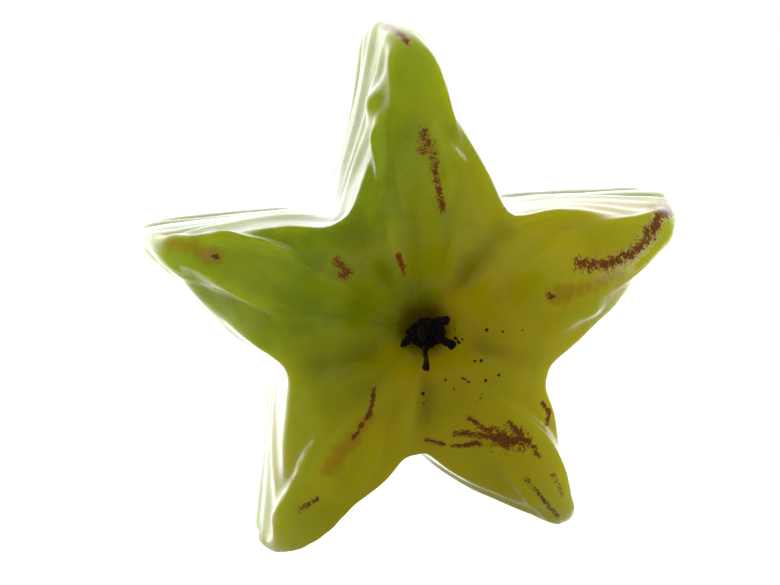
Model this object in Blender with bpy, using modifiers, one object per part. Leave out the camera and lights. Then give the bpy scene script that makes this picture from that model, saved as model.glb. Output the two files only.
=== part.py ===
"""Whole star fruit (carambola) with its withered flower at one end and its cut stalk at the other.

The fruit grew as one piece, so it is one closed solid with five ribs and five grooves. The pieces that come
away from it are separate solids: the flower's scar and five dried styles, the stalk, and five dried sepals.

Frame: metres, +Z up. The fruit lies on its two lower ribs on the plane Z = 0. Its long axis runs along Y, with
the blossom end at -Y and the stalk end at +Y. The origin is the bottom centre of the bounding box.
Sizes below are in millimetres, and angles are in degrees from +X towards +Z.
"""

import math
from typing import NamedTuple

import bmesh
import bpy
import numpy as np

MM = 0.001
OBJECT_NAME = "star_fruit"

# Where the fruit's axis runs: distances from the origin to the axis, and from the front of the ribs to Y = 0.
AXIS_X = -1.4
AXIS_HEIGHT = 30.0
FRONT_TO_ORIGIN = 54.7

# How the ribs weave from side to side along the fruit.
SWAY = 0.9
SWAY_LENGTH = 41.0

# The cage has ten columns for each rib: four on one side, the crest, four on the other side, and a groove.
COLUMNS_PER_RIB = 10
SMOOTHING = 1
# A rib narrows near the axis, so that it stays clear of its neighbours.
WIDEST_SHARE_OF_HEIGHT = 0.31
# A crest's rounding: how far in and how far out its two points on each side lie, in half widths.
SHOULDER_DROP = 0.22
SHOULDER_REACH = 0.85
BELOW_DROP = 0.85
BELOW_REACH = 1.15
# Where a rib's side has its other two points, as shares of the way down to the groove.
SIDE_SHARES = (0.45, 0.88)
# How far the sides bulge near the two ends, where a rib is broader than midway.
END_BULGE = 1.4
# How much of a rib's sway each of its nine columns takes.
SWAY_SHARES = (0.1, 0.45, 0.85, 1.0, 1.0, 1.0, 0.85, 0.45, 0.1)

# The dried flower in the hollow at the blossom end. The waves make the scar uneven: size, count and start.
SCAR_RADIUS = 2.3
SCAR_UPRIGHT_SHARE = 0.85
SCAR_HALF_DEPTH = 0.8
SCAR_Y = 1.6
SCAR_OUTLINE_WAVES = ((0.12, 3.0, 0.6), (0.07, 5.0, 2.0))
SCAR_DEPTH_WAVES = ((0.15, 2.0, 0.0),)
STYLE_RADIUS = 0.36
STYLE_STEPS = 7

# The stalk and the sepals in the hollow at the other end.
STALK_RADIUS = 1.5
STALK_FROM_Y = 103.0
STALK_TO_Y = 111.5
STALK_BEND = ((0.0, 0.0), (0.1, 0.3), (0.9, 1.2))
STALK_STEPS = 8
STALK_PLACES = (0.0, 0.25, 0.8, 1.0)
STALK_SHARES = (1.15, 0.9, 0.95, 1.1)
SEPAL_COUNT = 5
SEPAL_LENGTH = 4.8
SEPAL_FROM_RADIUS = 2.2
SEPAL_FROM_Y = 104.4
SEPAL_RISE = 2.4
SEPAL_HALF_WIDTH = 1.1
SEPAL_HALF_THICKNESS = 0.32
SEPAL_WIDTH_AT_ROOT = 1.1
SEPAL_WIDTH_LOST_AT_TIP = 0.5


class Rib(NamedTuple):
    """One rib: direction, height from the axis, and half widths at the blossom end and midway.

    The swells bulge its two sides, the front lean moves its crest sideways near the blossom end, and the sway
    phase says where it starts to weave.
    """

    angle: float
    height: float
    front_half_width: float
    body_half_width: float
    swell_before: float
    swell_after: float
    front_lean: float
    sway_phase: float


class Groove(NamedTuple):
    """The bottom of a groove: its direction and its distance from the axis midway along the fruit."""

    angle: float
    radius: float


class Station(NamedTuple):
    """One ring of the cage: where crests and grooves cross it, and how much of each size they have there."""

    crest_y: float
    crest_share: float
    groove_y: float
    groove_share: float
    width_share: float
    body_share: float


class Style(NamedTuple):
    """A dried style: points (x, y, z) from the axis and the front of the ribs, and its thickness at each."""

    name: str
    points: tuple
    shares: tuple


RIBS = (
    Rib(16.0, 38.0, 4.3, 1.2, 0.0, 0.0, -0.8, 40.0),
    Rib(87.5, 38.0, 3.8, 2.0, -1.5, -1.5, -1.3, 150.0),
    Rib(160.5, 35.5, 3.2, 1.2, 0.0, 0.0, -1.0, 260.0),
    Rib(236.0, 37.0, 3.3, 1.2, -0.5, -0.8, 0.6, 0.0),
    Rib(301.5, 36.0, 3.3, 1.2, 0.4, -0.8, 0.8, 80.0),
)
GROOVES = (
    Groove(44.5, 17.5),
    Groove(123.0, 15.5),
    Groove(194.5, 17.5),
    Groove(261.5, 15.5),
    Groove(331.5, 16.5),
)
STATIONS = (
    Station(3.0, 0.00, 3.0, 0.00, 0.00, 0.00),
    Station(2.6, 0.06, 2.8, 0.11, 0.25, 0.00),
    Station(0.3, 0.15, 0.9, 0.27, 0.60, 0.00),
    Station(0.8, 0.29, 1.6, 0.55, 0.95, 0.00),
    Station(5.5, 0.50, 4.6, 0.80, 1.10, 0.00),
    Station(12.8, 0.72, 9.8, 0.94, 1.00, 0.15),
    Station(22.0, 0.90, 21.0, 0.99, 0.72, 0.50),
    Station(36.0, 0.985, 37.0, 1.00, 0.75, 0.95),
    Station(54.0, 1.00, 54.0, 1.00, 1.00, 1.00),
    Station(68.0, 0.98, 67.0, 0.98, 1.00, 1.00),
    Station(82.0, 0.91, 80.0, 0.89, 1.00, 0.90),
    Station(94.0, 0.77, 91.0, 0.73, 1.00, 0.60),
    Station(103.0, 0.56, 99.0, 0.54, 1.00, 0.30),
    Station(107.5, 0.34, 103.0, 0.37, 0.85, 0.00),
    Station(106.5, 0.18, 103.5, 0.24, 0.50, 0.00),
    Station(102.6, 0.07, 102.2, 0.11, 0.25, 0.00),
    Station(102.0, 0.00, 102.0, 0.00, 0.00, 0.00),
)
STYLES = (
    Style("style_1", ((-0.2, 0.3, -1.4), (-0.1, -0.6, -2.3), (0.0, -0.8, -3.3), (-0.3, -1.1, -4.0)),
          (1.0, 0.7, 0.7, 1.3)),
    Style("style_2", ((0.5, 0.1, 1.0), (1.1, -0.7, 1.6), (2.0, -1.1, 1.7), (2.7, -1.3, 1.3)),
          (1.3, 1.1, 1.2, 1.5)),
    Style("style_3", ((1.2, 0.15, -0.4), (1.9, -0.5, -1.0), (2.6, -0.8, -1.2), (3.1, -1.1, -1.7)),
          (1.3, 1.1, 1.0, 1.4)),
    Style("style_4", ((-1.3, 0.2, 0.2), (-2.0, -0.5, 0.0), (-2.5, -0.9, -0.4), (-2.6, -1.2, -1.0)),
          (1.4, 1.1, 1.1, 1.3)),
    Style("style_5", ((-0.35, -0.1, 0.6), (-0.85, -1.1, 0.9), (-0.95, -1.8, 0.4), (-0.5, -2.2, -0.3)),
          (1.1, 0.9, 0.9, 1.2)),
)


def remove_all_objects():
    """Empty the file of objects, such as the default cube, and of the collections that held them."""
    for item in list(bpy.data.objects):
        bpy.data.objects.remove(item, do_unlink=True)
    for group in list(bpy.data.collections):
        bpy.data.collections.remove(group)


def new_collection(name):
    """Make a collection in the scene and return it."""
    group = bpy.data.collections.new(name)
    bpy.context.scene.collection.children.link(group)
    return group


def new_material(name, colour, roughness):
    """Make a Principled BSDF material with one colour."""
    material = bpy.data.materials.new(name)
    material.use_nodes = True
    shader = material.node_tree.nodes["Principled BSDF"]
    shader.inputs["Base Color"].default_value = (*colour, 1.0)
    shader.inputs["Roughness"].default_value = roughness
    shader.inputs["Metallic"].default_value = 0.0
    material.diffuse_color = (*colour, 1.0)
    return material


def skin_material():
    """Waxy green skin, a little yellow."""
    return new_material("skin", (0.27, 0.34, 0.05), 0.25)


def dried_flower_material():
    """Nearly black dried flower."""
    return new_material("dried_flower", (0.02, 0.012, 0.008), 0.85)


def stalk_material():
    """Brown, woody stalk."""
    return new_material("stalk", (0.13, 0.09, 0.045), 0.8)


def sepal_material():
    """Thin, brown, dry sepals."""
    return new_material("sepal", (0.09, 0.05, 0.025), 0.85)


def unit(angle):
    """Direction of an angle in the X-Z plane, as (x, z)."""
    return np.array([math.cos(math.radians(angle)), math.sin(math.radians(angle))])


def in_place(x, y, z):
    """Point in metres in the part's frame, from millimetres off the axis and off the front of the ribs."""
    return ((x + AXIS_X) * MM, (y - FRONT_TO_ORIGIN) * MM, (z + AXIS_HEIGHT) * MM)


def waves(angle, sizes):
    """Share of a size at an angle in radians: one and a sum of sine waves (size, count, start)."""
    return 1.0 + sum(size * math.sin(count * angle + start) for size, count, start in sizes)


def end_share(station):
    """How much of a rib's shape near the ends a station has: nothing midway and at the axis."""
    return 2.0 * station.crest_share * (1.0 - station.body_share)


def rib_side(rib, groove, station, side, swell):
    """Cage points from a rib's shoulder to just before the groove on one side, as (x, y, z) in millimetres."""
    outward = unit(rib.angle)
    sideways = side * unit(rib.angle + 90.0)
    crest = rib.height * station.crest_share
    half_width = rib.front_half_width * (1.0 - station.body_share) + rib.body_half_width * station.body_share
    half_width = min(half_width * station.width_share, WIDEST_SHARE_OF_HEIGHT * crest)
    shoulder = outward * (crest - SHOULDER_DROP * half_width) + sideways * SHOULDER_REACH * half_width
    below = outward * (crest - BELOW_DROP * half_width) + sideways * BELOW_REACH * half_width
    bottom = unit(groove.angle) * groove.radius * station.groove_share
    slope = bottom - below
    normal = np.array([slope[1], -slope[0]])
    normal = normal * math.copysign(1.0, normal @ sideways) / max(np.hypot(*slope), 1e-6)
    swollen = swell * station.crest_share + END_BULGE * end_share(station)
    points = [(shoulder, station.crest_y), (below, station.crest_y)]
    for share in SIDE_SHARES:
        bulge = swollen * math.sin(math.pi * share)
        place = below * (1.0 - share) + bottom * share + normal * bulge
        points.append((place, station.crest_y * (1.0 - share) + station.groove_y * share))
    return [(x, y, z) for (x, z), y in points]


def sway_at(rib, station):
    """How far a rib leans sideways at a station; nothing at the axis, where the ribs meet."""
    turn = 360.0 * station.crest_y / SWAY_LENGTH + rib.sway_phase
    weave = SWAY * max(0.0, station.crest_share - 0.5) * 2.0 * math.sin(math.radians(turn))
    return weave + rib.front_lean * end_share(station)


def cage_ring(station):
    """One ring of cage points around the fruit, ten for each rib, in millimetres from the axis."""
    ring = []
    for index, rib in enumerate(RIBS):
        before = rib_side(rib, GROOVES[index - 1], station, -1.0, rib.swell_before)
        after = rib_side(rib, GROOVES[index], station, 1.0, rib.swell_after)
        x, z = unit(rib.angle) * rib.height * station.crest_share
        rib_points = [*reversed(before), (x, station.crest_y, z), *after]
        lean = unit(rib.angle + 90.0) * sway_at(rib, station)
        for (px, py, pz), share in zip(rib_points, SWAY_SHARES):
            ring.append((px + lean[0] * share, py, pz + lean[1] * share))
        gx, gz = unit(GROOVES[index].angle) * GROOVES[index].radius * station.groove_share
        ring.append((gx, station.groove_y, gz))
    return ring


def add_fruit(collection, material, cutter):
    """The fruit: a sphere's rings moved to the cage, smoothed, and flattened where two ribs rest."""
    cage = [cage_ring(station) for station in STATIONS]
    columns = COLUMNS_PER_RIB * len(RIBS)
    rings = len(STATIONS) - 1
    shape = bmesh.new()
    bmesh.ops.create_uvsphere(shape, u_segments=columns, v_segments=rings, radius=1.0)
    for vertex in shape.verts:
        ring = round(math.acos(max(-1.0, min(1.0, vertex.co.z))) / math.pi * rings)
        column = round(math.atan2(vertex.co.y, vertex.co.x) / math.tau * columns) % columns
        vertex.co = in_place(*cage[ring][column])
    mesh = bpy.data.meshes.new("fruit")
    shape.to_mesh(mesh)
    shape.free()
    mesh.materials.append(material)
    mesh.shade_smooth()
    fruit = bpy.data.objects.new("fruit", mesh)
    collection.objects.link(fruit)
    smooth = fruit.modifiers.new("smooth", "SUBSURF")
    smooth.levels = SMOOTHING
    smooth.render_levels = SMOOTHING
    flatten = fruit.modifiers.new("rest", "BOOLEAN")
    flatten.operation = "DIFFERENCE"
    flatten.solver = "EXACT"
    flatten.object = cutter
    return fruit


def add_rest_plane_cutter(collection):
    """A block whose top is the plane Z = 0, which flattens the crests that the fruit rests on."""
    size = 200.0 * MM
    shape = bmesh.new()
    bmesh.ops.create_cube(shape, size=size)
    mesh = bpy.data.meshes.new("rest_plane_cutter")
    shape.to_mesh(mesh)
    shape.free()
    cutter = bpy.data.objects.new("rest_plane_cutter", mesh)
    cutter.location = (0.0, 0.0, -size / 2.0)
    cutter.hide_render = True
    cutter.display_type = "WIRE"
    collection.objects.link(cutter)
    return cutter


def add_flower_scar(collection, material):
    """The dried base of the flower: a flat, uneven lump in the hollow at the blossom end."""
    shape = bmesh.new()
    bmesh.ops.create_uvsphere(shape, u_segments=20, v_segments=10, radius=1.0)
    for vertex in shape.verts:
        around = math.atan2(vertex.co.y, vertex.co.x)
        radius = SCAR_RADIUS * waves(around, SCAR_OUTLINE_WAVES)
        x = vertex.co.x * radius
        z = vertex.co.y * radius * SCAR_UPRIGHT_SHARE
        y = SCAR_Y - vertex.co.z * SCAR_HALF_DEPTH * waves(around, SCAR_DEPTH_WAVES)
        vertex.co = in_place(x, y, z)
    mesh = bpy.data.meshes.new("flower_scar")
    shape.to_mesh(mesh)
    shape.free()
    mesh.materials.append(material)
    mesh.shade_smooth()
    scar = bpy.data.objects.new("flower_scar", mesh)
    collection.objects.link(scar)
    return scar


def smooth_path(points, steps):
    """Points on a smooth curve that starts and ends at, and leans towards, the control points given."""
    curve = []
    degree = len(points) - 1
    for step in range(steps + 1):
        t = step / steps
        weights = [math.comb(degree, k) * t**k * (1.0 - t) ** (degree - k) for k in range(degree + 1)]
        curve.append(tuple(sum(w * p[axis] for w, p in zip(weights, points)) for axis in range(3)))
    return curve


def add_tube(collection, name, points, radii, material, resolution):
    """A tube along points in millimetres with a thickness at each, round, with filled ends."""
    curve = bpy.data.curves.new(name, "CURVE")
    curve.dimensions = "3D"
    curve.bevel_depth = MM
    curve.bevel_resolution = resolution
    curve.use_fill_caps = True
    spline = curve.splines.new("POLY")
    spline.points.add(len(points) - 1)
    for target, point, radius in zip(spline.points, points, radii):
        target.co = (*in_place(*point), 1.0)
        target.radius = radius
    curve.materials.append(material)
    tube = bpy.data.objects.new(name, curve)
    collection.objects.link(tube)
    return tube


def add_styles(collection, material):
    """Five dried styles, bent over the scar, each with a thicker tip."""
    places = np.linspace(0.0, 1.0, STYLE_STEPS + 1)
    for style in STYLES:
        radii = STYLE_RADIUS * np.interp(places, np.linspace(0.0, 1.0, len(style.shares)), style.shares)
        add_tube(collection, style.name, smooth_path(style.points, STYLE_STEPS), radii, material, 1)


def add_stalk(collection, material):
    """The cut stalk: a short, slightly bent rod that widens where it joins the fruit and at its cut end."""
    heights = (STALK_FROM_Y, (STALK_FROM_Y + STALK_TO_Y) / 2.0, STALK_TO_Y)
    path = smooth_path([(x, y, z) for (x, z), y in zip(STALK_BEND, heights)], STALK_STEPS)
    places = np.linspace(0.0, 1.0, STALK_STEPS + 1)
    radii = STALK_RADIUS * np.interp(places, STALK_PLACES, STALK_SHARES)
    add_tube(collection, "stem_stub", path, radii, material, 3)


def add_sepals(collection, material):
    """Five pointed dry sepals around the stalk, each a thin lens bent back towards the stalk's end."""
    for index in range(SEPAL_COUNT):
        outward = unit(GROOVES[index].angle)
        sideways = unit(GROOVES[index].angle - 90.0)
        shape = bmesh.new()
        bmesh.ops.create_uvsphere(shape, u_segments=12, v_segments=10, radius=1.0)
        for vertex in shape.verts:
            along = (vertex.co.z + 1.0) / 2.0
            radius = SEPAL_FROM_RADIUS + SEPAL_LENGTH * along
            width = vertex.co.x * SEPAL_HALF_WIDTH * (SEPAL_WIDTH_AT_ROOT - SEPAL_WIDTH_LOST_AT_TIP * along)
            height = SEPAL_FROM_Y + SEPAL_RISE * math.sin(math.pi / 2.0 * along)
            x, z = outward * radius + sideways * width
            vertex.co = in_place(x, height + vertex.co.y * SEPAL_HALF_THICKNESS, z)
        name = f"sepal_{index + 1}"
        mesh = bpy.data.meshes.new(name)
        shape.to_mesh(mesh)
        shape.free()
        mesh.materials.append(material)
        mesh.shade_smooth()
        collection.objects.link(bpy.data.objects.new(name, mesh))


def main():
    """Build the star fruit."""
    remove_all_objects()
    parts = new_collection(OBJECT_NAME)
    cutters = new_collection(f"{OBJECT_NAME}_cutters")
    dried_flower = dried_flower_material()
    cutter = add_rest_plane_cutter(cutters)
    add_fruit(parts, skin_material(), cutter)
    add_flower_scar(parts, dried_flower)
    add_styles(parts, dried_flower)
    add_stalk(parts, stalk_material())
    add_sepals(parts, sepal_material())


main()
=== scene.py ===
"""Looks of one whole star fruit: waxy ribbed skin, a withered flower, a cut stalk and its dry sepals.

Everything is in metres, +Z up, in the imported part's own frame. The fruit lies on two ribs on Z = 0, with
its blossom end towards -Y and its stalk end towards +Y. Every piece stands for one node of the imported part
and is placed from that node's box. Sizes in the data classes are in millimetres, and angles in degrees.
A pair of numbers named for a step says where the step is 0 and where it is 1.
"""

import logging
import math
from dataclasses import astuple, dataclass
from enum import Enum
from typing import Sequence, Union

import bpy
import numpy as np
from mathutils import Matrix, Vector


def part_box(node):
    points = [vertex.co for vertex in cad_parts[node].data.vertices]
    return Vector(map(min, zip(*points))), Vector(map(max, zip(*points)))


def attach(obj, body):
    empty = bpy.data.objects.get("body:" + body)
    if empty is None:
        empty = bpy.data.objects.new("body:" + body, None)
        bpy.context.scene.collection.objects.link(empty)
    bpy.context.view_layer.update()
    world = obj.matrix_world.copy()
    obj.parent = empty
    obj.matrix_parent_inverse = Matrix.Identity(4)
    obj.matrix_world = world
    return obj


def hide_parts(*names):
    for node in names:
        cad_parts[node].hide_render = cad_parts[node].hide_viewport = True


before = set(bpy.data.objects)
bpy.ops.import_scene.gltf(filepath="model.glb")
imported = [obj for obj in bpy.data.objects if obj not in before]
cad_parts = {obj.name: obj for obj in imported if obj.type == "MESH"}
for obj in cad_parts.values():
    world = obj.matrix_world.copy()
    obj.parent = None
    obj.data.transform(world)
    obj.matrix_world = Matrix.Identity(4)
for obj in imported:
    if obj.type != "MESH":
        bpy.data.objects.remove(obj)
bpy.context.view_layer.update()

MM = 0.001
log = logging.getLogger("star_fruit")

Colour = tuple[float, float, float]
Pair = tuple[float, float]


# ---------------------------------------------------------------------------------------------------------
# Shader toolkit
# ---------------------------------------------------------------------------------------------------------


class Value:
    """A number that varies in a shader. Arithmetic on it adds Math nodes to the shader it belongs to."""

    def __init__(self, shader: "Shader", socket: bpy.types.NodeSocket) -> None:
        """Wrap an output socket.

        Args:
            shader: the shader that the socket is in.
            socket: the output socket that gives the number.
        """
        self.shader = shader
        self.socket = socket

    def maths(self, operation: str, *others: "Number") -> "Value":
        """Add one Math node.

        Args:
            operation: the Math node's operation.
            others: what its further inputs take.

        Returns:
            The node's result.
        """
        return self.shader.maths(operation, self, *others)

    def __add__(self, other: "Number") -> "Value":
        """Sum."""
        return self.maths("ADD", other)

    __radd__ = __add__

    def __sub__(self, other: "Number") -> "Value":
        """Difference."""
        return self.maths("SUBTRACT", other)

    def __rsub__(self, other: "Number") -> "Value":
        """Difference, with the number first."""
        return self.shader.maths("SUBTRACT", other, self)

    def __mul__(self, other: "Number") -> "Value":
        """Product."""
        return self.maths("MULTIPLY", other)

    __rmul__ = __mul__

    def smooth(self, low: float, high: float) -> "Value":
        """Soft step.

        Args:
            low: where the step is 0.
            high: where the step is 1. It may be below low, for a step that falls.

        Returns:
            A value from 0 to 1, level at both ends.
        """
        settings = {"interpolation_type": "SMOOTHSTEP"}
        rising = low < high
        ends = (low, high, 0.0, 1.0) if rising else (high, low, 1.0, 0.0)
        inputs = dict(zip(("From Min", "From Max", "To Min", "To Max"), ends))
        node = self.shader.node("ShaderNodeMapRange", settings, {"Value": self, **inputs})
        return Value(self.shader, node.outputs["Result"])


Number = Union[float, Value]
Input = Union[float, Sequence[float], Value, bpy.types.NodeSocket]


class Shader:
    """One material's node tree, with a Principled shader and its output."""

    def __init__(self, name: str, roughness: float) -> None:
        """Start a material.

        Args:
            name: the material's name.
            roughness: the Principled shader's roughness, where nothing varies it.
        """
        self.material = bpy.data.materials.new(name)
        self.material.use_nodes = True
        self.tree = self.material.node_tree
        self.principled = self.tree.nodes["Principled BSDF"]
        self.principled.inputs["Roughness"].default_value = roughness
        self.place = self.node("ShaderNodeTexCoord", {}, {}).outputs["Object"]

    def node(self, kind: str, settings: dict, inputs: dict[Union[str, int], Input]) -> bpy.types.Node:
        """Add a node.

        Args:
            kind: the node's type.
            settings: its properties, set first. "stops" holds a ramp's (position, colour) pairs.
            inputs: what its sockets take, by name or number: a value, or an output to link.

        Returns:
            The node.
        """
        node = self.tree.nodes.new(kind)
        for key, setting in settings.items():
            if key == "stops":
                self.set_stops(node.color_ramp, setting)
            else:
                setattr(node, key, setting)
        for key, given in inputs.items():
            self.feed(node.inputs[key], given)
        return node

    def feed(self, target: bpy.types.NodeSocket, given: Input) -> None:
        """Give an input socket a link or a value.

        Args:
            target: the input socket.
            given: an output to link, or a number or numbers to set.
        """
        if isinstance(given, Value):
            self.tree.links.new(given.socket, target)
        elif isinstance(given, bpy.types.NodeSocket):
            self.tree.links.new(given, target)
        elif target.type == "RGBA":
            target.default_value = (*given, 1.0)
        else:
            target.default_value = given

    @staticmethod
    def set_stops(ramp: bpy.types.ColorRamp, stops: Sequence[tuple[float, Colour]]) -> None:
        """Replace a ramp's stops.

        Args:
            ramp: the ramp to change.
            stops: position and colour of each stop, in order.
        """
        while len(ramp.elements) < len(stops):
            ramp.elements.new(1.0)
        for element, (position, colour) in zip(ramp.elements, stops):
            element.position = position
            element.color = (*colour, 1.0)

    def maths(self, operation: str, *terms: Number) -> Value:
        """Add a Math node.

        Args:
            operation: the node's operation.
            terms: what its inputs take, in order.

        Returns:
            The node's result.
        """
        node = self.node("ShaderNodeMath", {"operation": operation}, dict(enumerate(terms)))
        return Value(self, node.outputs[0])

    def attribute(self, name: str) -> Value:
        """The mesh's own value of that name, such as the distance to the nearest mark."""
        node = self.node("ShaderNodeAttribute", {"attribute_name": name}, {})
        return Value(self, node.outputs["Fac"])

    def stretched(self, scale: Sequence[float]) -> bpy.types.NodeSocket:
        """Place on the object, multiplied along each axis, for patterns with a direction."""
        return self.node("ShaderNodeMapping", {}, {"Vector": self.place, "Scale": scale}).outputs["Vector"]

    def noise(
        self,
        size_mm: float,
        detail: float = 2.0,
        twist: float = 0.0,
        place: Union[bpy.types.NodeSocket, None] = None,
    ) -> Value:
        """Soft random pattern.

        Args:
            size_mm: the size of its blotches.
            detail: how many finer layers it has.
            twist: how far it is distorted.
            place: where it is read, the object's own coordinates if not given.

        Returns:
            A value around 0.5.
        """
        inputs = {"Scale": 1.0 / (size_mm * MM), "Detail": detail, "Distortion": twist}
        inputs["Vector"] = self.place if place is None else place
        return Value(self, self.node("ShaderNodeTexNoise", {}, inputs).outputs["Fac"])

    def cells(self, size_mm: float) -> Value:
        """Distance to the nearest of many scattered points, in parts of their spacing."""
        inputs = {"Scale": 1.0 / (size_mm * MM), "Vector": self.place}
        return Value(self, self.node("ShaderNodeTexVoronoi", {}, inputs).outputs["Distance"])

    def axes(self) -> tuple[Value, Value, Value]:
        """The three coordinates on the object, in metres."""
        node = self.node("ShaderNodeSeparateXYZ", {}, {0: self.place})
        return tuple(Value(self, output) for output in node.outputs)

    def mix(self, factor: Number, first: Input, second: Input) -> bpy.types.NodeSocket:
        """Blend two colours.

        Args:
            factor: 0 for the first colour, 1 for the second.
            first: a colour or a colour output.
            second: a colour or a colour output.

        Returns:
            The blended colour's output.
        """
        settings = {"data_type": "RGBA", "clamp_factor": True}
        return self.node("ShaderNodeMix", settings, {0: factor, 6: first, 7: second}).outputs[2]

    def paint(self, colour: Input) -> None:
        """Give the base colour."""
        self.feed(self.principled.inputs["Base Color"], colour)

    def gloss(self, roughness: Input) -> None:
        """Give a roughness that varies."""
        self.feed(self.principled.inputs["Roughness"], roughness)

    def bump(self, height: Value, depth_mm: float) -> None:
        """Add relief too fine to model.

        Args:
            height: relief from 0 to 1.
            depth_mm: how deep 1 is.
        """
        inputs = {"Height": height, "Distance": depth_mm * MM, "Strength": 1.0}
        relief = self.node("ShaderNodeBump", {}, inputs)
        self.feed(self.principled.inputs["Normal"], relief.outputs["Normal"])

    def uniform(self, **settings: Input) -> None:
        """Set Principled sockets that are the same all over; an underscore stands for a space."""
        for key, given in settings.items():
            self.feed(self.principled.inputs[key.replace("_", " ")], given)


# ---------------------------------------------------------------------------------------------------------
# Finishes
# ---------------------------------------------------------------------------------------------------------


@dataclass(frozen=True)
class SkinFinish:
    """Waxy skin, green turning olive yellow, with brown rub marks and specks, painted light on the crests
    and folds, and painted shade in the creases.
    """

    slot: str = "skin"
    green: Colour = (0.450, 0.590, 0.003)
    deep_green: Colour = (0.350, 0.450, 0.002)
    yellow: Colour = (0.760, 0.660, 0.003)
    # Pale gives the skin's pale pores, and is also painted light: paler crests and highlights on raised
    # folds.
    pale: Colour = (0.560, 0.660, 0.030)
    # Olive is used as painted shade in the creases of the blossom end.
    olive: Colour = (0.300, 0.260, 0.002)
    body: Colour = (0.340, 0.420, 0.040)
    olive_brown: Colour = (0.260, 0.180, 0.002)
    russet: Colour = (0.230, 0.052, 0.003)
    tan: Colour = (0.560, 0.260, 0.008)
    black: Colour = (0.012, 0.008, 0.005)
    shade: Colour = (0.84, 0.76, 0.50)
    roughness: float = 0.08

    def make(self) -> bpy.types.Material:
        """Build the material.

        Returns:
            The skin's material.
        """
        skin = Shader(self.slot, self.roughness)
        broad = skin.noise(16.0, 2.0, 0.4)
        blotch = skin.noise(5.0, 3.0, 0.6)
        grain = skin.noise(0.9, 3.0)
        fine = skin.noise(0.35, 2.0)
        crumbs = skin.noise(0.22, 2.0)
        names = ("ripe", "heart", "thin", "shade", "streak", "relief", "rub", "smear", "speck")
        ripe, heart, thin, shade, streak, relief, rub, smear, speck = map(skin.attribute, names)

        lively = (blotch + broad + streak * 0.12 - 0.55).smooth(0.2, 0.75)
        green = skin.mix(lively, self.deep_green, self.green)
        mottled = (broad - 0.5) * 0.9 + (blotch - 0.5) * 0.5 + streak * 0.05
        colour = skin.mix(ripe + mottled, green, self.yellow)
        # Painted light: crests far out from the axis are made paler, standing in for light shining through
        # the thin ribs.
        colour = skin.mix((thin * 1.1 + (blotch - 0.5) * 0.5).smooth(0.25, 1.1) * 0.4, colour, self.pale)
        # Painted highlight on raised folds and painted shade in creases, both from the fold relief.
        colour = skin.mix(relief.smooth(0.05, 0.5) * 0.35, colour, self.pale)
        colour = skin.mix(relief.smooth(-0.05, -0.7) * 0.22, colour, self.olive)
        shaded = skin.node("ShaderNodeVectorMath", {"operation": "MULTIPLY"}, {0: colour, 1: self.shade})
        colour = skin.mix(shade + (broad - 0.5) * 0.6, colour, shaded.outputs[0])
        pores = skin.cells(0.8).smooth(0.42, 0.12) * grain.smooth(0.45, 0.7) * 0.3
        colour = skin.mix(pores, colour, self.pale)
        colour = skin.mix((heart + (grain - 0.5) * 0.35).smooth(0.15, 1.0) * 0.8, colour, self.olive_brown)
        smeared = (smear + (blotch - 0.5) * 1.6 + (grain - 0.5) * 1.4).smooth(1.0, 0.1) * 0.55
        colour = skin.mix(smeared, colour, self.tan)
        worn = rub + (grain - 0.5) * 2.4 + (fine - 0.5) * 2.0 + (crumbs - 0.5) * 2.6
        rubbed = worn.smooth(1.25, 0.75)
        colour = skin.mix(rubbed * 0.7, colour, self.tan)
        colour = skin.mix(worn.smooth(0.85, 0.45) * 0.9, colour, self.russet)
        specked = (speck + (fine - 0.5) * 0.6).smooth(1.1, 0.7)
        colour = skin.mix(specked, colour, self.black)
        skin.paint(skin.mix(skin.axes()[1].smooth(-0.035, 0.005) * 0.6, colour, self.body))
        skin.gloss(self.roughness + rubbed * 0.05 + specked * 0.05 + (grain - 0.5) * 0.05)
        skin.bump(blotch * 0.5 + grain * 0.22 + fine * 0.05 + rubbed * 0.2, 0.16)
        skin.uniform(IOR=1.42, Specular_IOR_Level=0.25, Coat_Weight=0.0, Subsurface_Weight=0.9)
        skin.uniform(Subsurface_Radius=(0.9, 1.0, 0.1), Subsurface_Scale=10.0 * MM)
        return skin.material


@dataclass(frozen=True)
class DriedFlowerFinish:
    """Withered flower: nearly black and crumbling, with reddish brown where a style is less dry."""

    slot: str = "dried_flower"
    black: Colour = (0.004, 0.003, 0.003)
    brown: Colour = (0.030, 0.012, 0.007)
    red: Colour = (0.210, 0.060, 0.030)

    def make(self, name: str, redness: float) -> bpy.types.Material:
        """Build the material.

        Args:
            name: the material's name.
            redness: how much of the piece is reddish brown, from 0 to 1.

        Returns:
            The material.
        """
        flower = Shader(name, 0.7)
        grain = flower.noise(0.5, 3.0)
        blotch = flower.noise(1.3, 2.0)
        colour = flower.mix(grain.smooth(0.45, 0.75), self.black, self.brown)
        flower.paint(flower.mix((blotch - 0.5 + redness).smooth(0.35, 0.8), colour, self.red))
        flower.gloss(0.5 + grain * 0.4)
        flower.bump(grain, 0.15)
        flower.uniform(Specular_IOR_Level=0.1)
        return flower.material


@dataclass(frozen=True)
class StalkFinish:
    """Woody stalk: brown and finely grooved along its length, with a paler cut end."""

    slot: str = "stalk"
    dark: Colour = (0.060, 0.036, 0.016)
    light: Colour = (0.190, 0.130, 0.060)
    cut: Colour = (0.380, 0.300, 0.150)

    def make(self) -> bpy.types.Material:
        """Build the material.

        Returns:
            The stalk's material.
        """
        stalk = Shader(self.slot, 0.8)
        lines = stalk.noise(0.4, 3.0, 0.3, stalk.stretched((1.0, 0.12, 1.0)))
        blotch = stalk.noise(1.6, 2.0)
        bark = stalk.mix((lines * 0.7 + blotch * 0.3).smooth(0.35, 0.65), self.dark, self.light)
        stalk.paint(stalk.mix(stalk.attribute("cut") * (0.7 + blotch * 0.4), bark, self.cut))
        stalk.gloss(0.65 + lines * 0.3)
        stalk.bump(lines, 0.15)
        return stalk.material


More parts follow.
